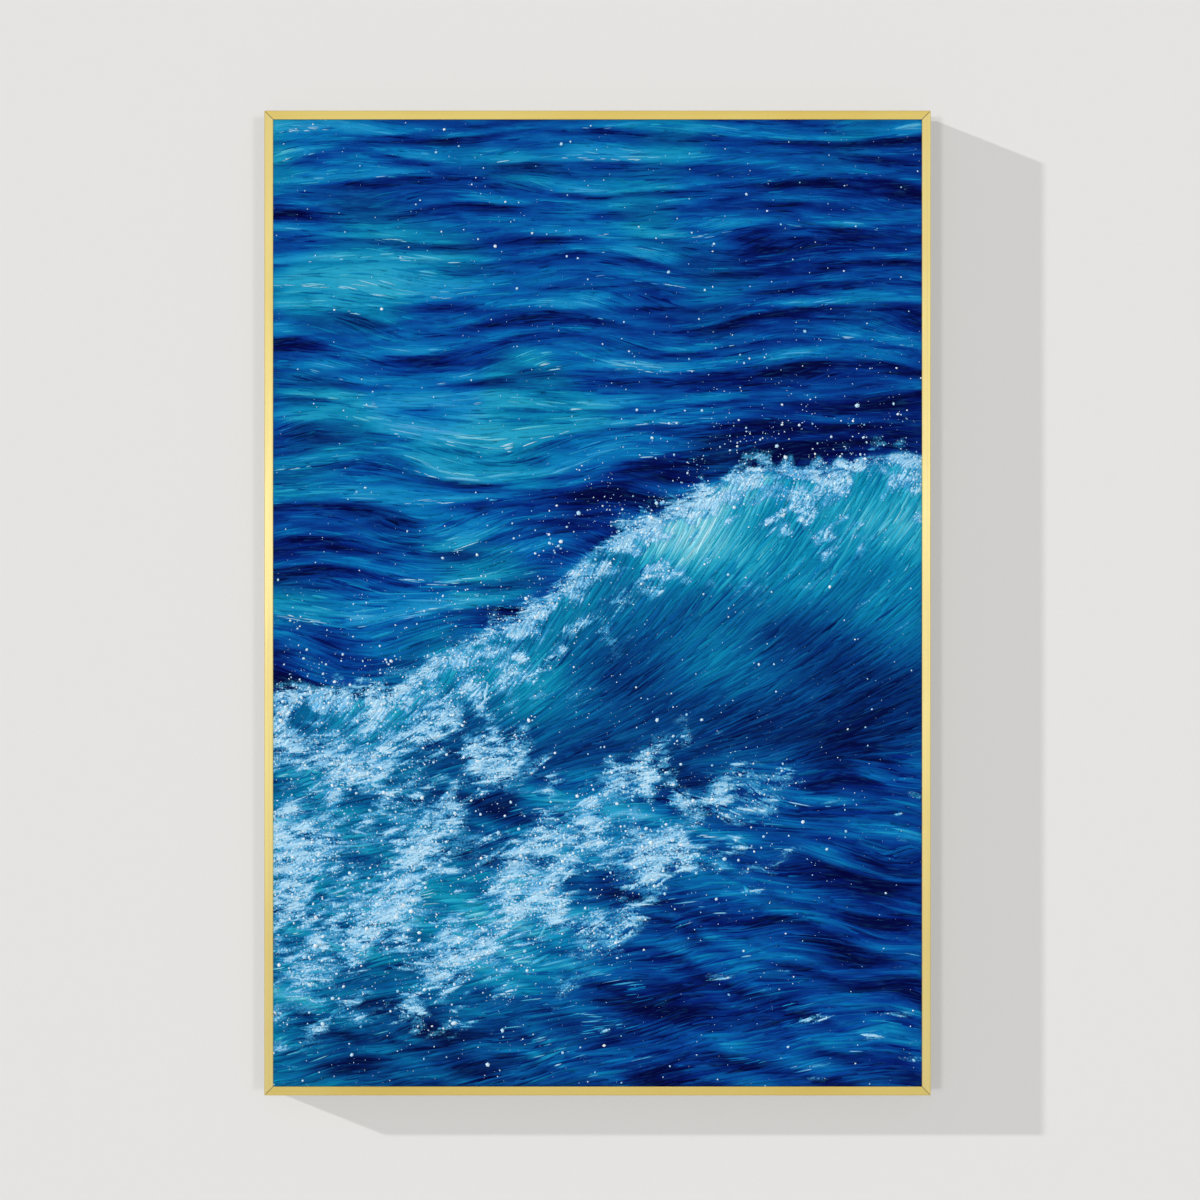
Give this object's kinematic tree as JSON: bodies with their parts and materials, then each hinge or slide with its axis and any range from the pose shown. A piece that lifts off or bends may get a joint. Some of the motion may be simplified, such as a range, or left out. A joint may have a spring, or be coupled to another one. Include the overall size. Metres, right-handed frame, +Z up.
{
  "type": "framed oil painting",
  "caption": "Tall seascape in oils on stretched canvas in a narrow satin-gold metal frame, hung on a wall by a sawtooth hanger.",
  "frame": {"origin": "middle of the sawtooth hanger's back face, which rests against the wall at the top of the picture", "axes": "+Z up along the wall, +Y into the wall, so the painting faces -Y, +X to the right of someone who looks at it"},
  "size_m": [0.62, 0.035, 0.916],
  "materials": {
    "gold_aluminium": "satin gold anodised, brushed along each rail",
    "pine": "planed, bare",
    "painted_cloth": "primed cotton with oil paint on the front, bare cotton behind",
    "zinc_steel": "bright zinc plate",
    "rubber": "matt"
  },
  "bodies": {
    "root": {"frame_rail_top": "gold_aluminium", "frame_rail_bottom": "gold_aluminium", "frame_rail_left": "gold_aluminium", "frame_rail_right": "gold_aluminium", "stretcher_bar_top": "pine", "stretcher_bar_bottom": "pine", "stretcher_bar_left": "pine", "stretcher_bar_right": "pine", "stretcher_cross_brace": "pine", "painted_canvas": "painted_cloth", "corner_plate_bottom_left": "zinc_steel", "corner_screw_bottom_left_a": "zinc_steel", "corner_screw_bottom_left_b": "zinc_steel", "corner_plate_top_left": "zinc_steel", "corner_screw_top_left_a": "zinc_steel", "corner_screw_top_left_b": "zinc_steel", "corner_plate_top_right": "zinc_steel", "corner_screw_top_right_a": "zinc_steel", "corner_screw_top_right_b": "zinc_steel", "corner_plate_bottom_right": "zinc_steel", "corner_screw_bottom_right_a": "zinc_steel", "corner_screw_bottom_right_b": "zinc_steel", "sawtooth_hanger": "zinc_steel", "hanger_nut_plate": "zinc_steel", "hanger_screw_left": "zinc_steel", "hanger_screw_right": "zinc_steel", "wall_bumper_left": "rubber", "wall_bumper_right": "rubber"}
  },
  "joints": []
}
